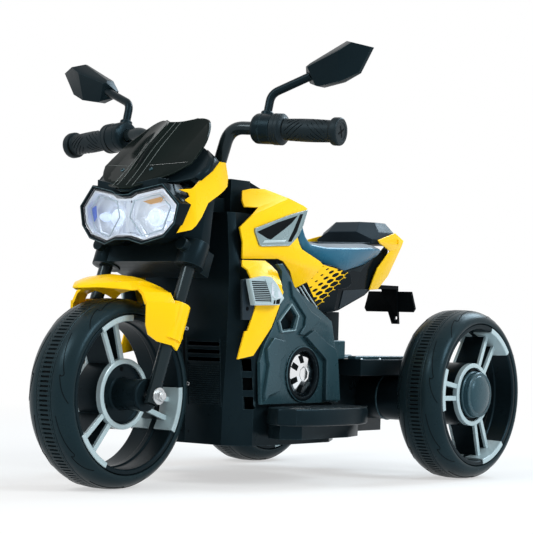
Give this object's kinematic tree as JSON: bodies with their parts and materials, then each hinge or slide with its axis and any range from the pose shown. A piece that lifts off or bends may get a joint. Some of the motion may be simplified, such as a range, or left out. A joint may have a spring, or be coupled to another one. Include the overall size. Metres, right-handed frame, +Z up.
{
  "type": "ride-on trike",
  "caption": "Child's battery ride-on trike with motorcycle styling: steered front wheel in a raked fork, twin rear wheels, seat, footboards, mirrors, windscreen and headlight.",
  "frame": {"origin": "on the ground, midway between the axles, under the bounding box's centre", "axes": "-Y forward, +X to the rider's left, +Z up"},
  "size_m": [0.577, 0.8387, 0.6225],
  "materials": {
    "tyre": "fine cross ribs, matt",
    "rim": "satin black moulding with light grey faces",
    "black_plastic": "satin",
    "gloss_black": "gloss",
    "yellow_plastic": "gloss",
    "teal_black": "satin",
    "silver_plastic": "satin silver",
    "seat_plastic": "satin, moulded",
    "steel": "zinc plated",
    "chrome_plastic": "bright",
    "clear_lens": "clear",
    "smoked_screen": "smoked gloss",
    "mirror_face": "mirror",
    "red_plastic": "gloss",
    "battery_case": "matt"
  },
  "bodies": {
    "chassis": {"body_shell_left": "black_plastic", "body_shell_right": "black_plastic", "head_bracket": "gloss_black", "tank_cover_left": "yellow_plastic", "tank_cover_right": "yellow_plastic", "tank_top": "black_plastic", "side_fin_left": "yellow_plastic", "side_fin_right": "yellow_plastic", "side_lamp_left": "silver_plastic", "side_lamp_right": "silver_plastic", "side_frame_left": "teal_black", "side_frame_right": "teal_black", "engine_disc_left": "chrome_plastic", "engine_disc_right": "chrome_plastic", "footboard_left": "black_plastic", "footboard_right": "black_plastic", "seat": "seat_plastic", "pillion_pad": "black_plastic", "tail_tub": "black_plastic", "tail_cowl": "yellow_plastic", "rear_carrier": "black_plastic", "gearbox_left": "black_plastic", "gearbox_right": "black_plastic", "rear_axle": "steel", "battery": "battery_case", "tail_light": "red_plastic", "plate_holder": "black_plastic"},
    "steering": {"steering_stem": "black_plastic", "lower_yoke": "black_plastic", "fork_cover": "black_plastic", "fork_leg_left": "black_plastic", "fork_leg_right": "black_plastic", "front_fender": "yellow_plastic", "front_axle": "steel", "handlebar": "gloss_black", "grip_left": "black_plastic", "grip_right": "black_plastic", "switch_housing_left": "black_plastic", "switch_housing_right": "black_plastic", "mirror_stalk_left": "black_plastic", "mirror_stalk_right": "black_plastic", "headlight_housing": "gloss_black", "headlight_lens": "clear_lens", "headlight_reflector": "chrome_plastic", "windscreen": "smoked_screen", "front_cowl": "black_plastic", "wing_left": "yellow_plastic", "wing_right": "yellow_plastic"},
    "front_wheel": {"front_tyre": "tyre", "front_rim": "rim"},
    "rear_wheel_left": {"rear_tyre_left": "tyre", "rear_rim_left": "rim"},
    "rear_wheel_right": {"rear_tyre_right": "tyre", "rear_rim_right": "rim"},
    "mirror_left": {"mirror_shell_left": "black_plastic", "mirror_glass_left": "mirror_face"},
    "mirror_right": {"mirror_shell_right": "black_plastic", "mirror_glass_right": "mirror_face"},
    "pedal": {"pedal": "black_plastic"},
    "power_switch": {"power_switch": "red_plastic"}
  },
  "joints": [
    {"name": "steering_turn", "type": "hinge", "parent": "chassis", "child": "steering", "pos_m": [0, -0.197, 0.298], "axis": [0, 0.3551, 0.9348], "range_deg": [-22, 22]},
    {"name": "front_wheel_spin", "type": "hinge", "parent": "steering", "child": "front_wheel", "pos_m": [0, -0.28935, 0.13], "axis": [1, 0, 0], "continuous": true},
    {"name": "rear_wheel_left_spin", "type": "hinge", "parent": "chassis", "child": "rear_wheel_left", "pos_m": [0.2019, 0.28935, 0.13], "axis": [1, 0, 0], "continuous": true},
    {"name": "rear_wheel_right_spin", "type": "hinge", "parent": "chassis", "child": "rear_wheel_right", "pos_m": [-0.2019, 0.28935, 0.13], "axis": [1, 0, 0], "continuous": true},
    {"name": "mirror_left_tilt", "type": "hinge", "parent": "steering", "child": "mirror_left", "pos_m": [0.191, -0.1065, 0.5765], "axis": [0.906, 0.2109, 0.3671], "range_deg": [-15, 15]},
    {"name": "mirror_right_tilt", "type": "hinge", "parent": "steering", "child": "mirror_right", "pos_m": [-0.191, -0.1065, 0.5765], "axis": [0.906, -0.2109, -0.3671], "range_deg": [-15, 15]},
    {"name": "pedal_press", "type": "hinge", "parent": "chassis", "child": "pedal", "pos_m": [-0.15, -0.02, 0.119], "axis": [1, 0, 0], "range_deg": [0, 9], "stiffness_Nm_per_rad": 1.5, "springref_deg": -5.73},
    {"name": "power_switch_rock", "type": "hinge", "parent": "chassis", "child": "power_switch", "pos_m": [-0.033, -0.091, 0.433], "axis": [1, 0, 0], "range_deg": [-8, 8]}
  ]
}
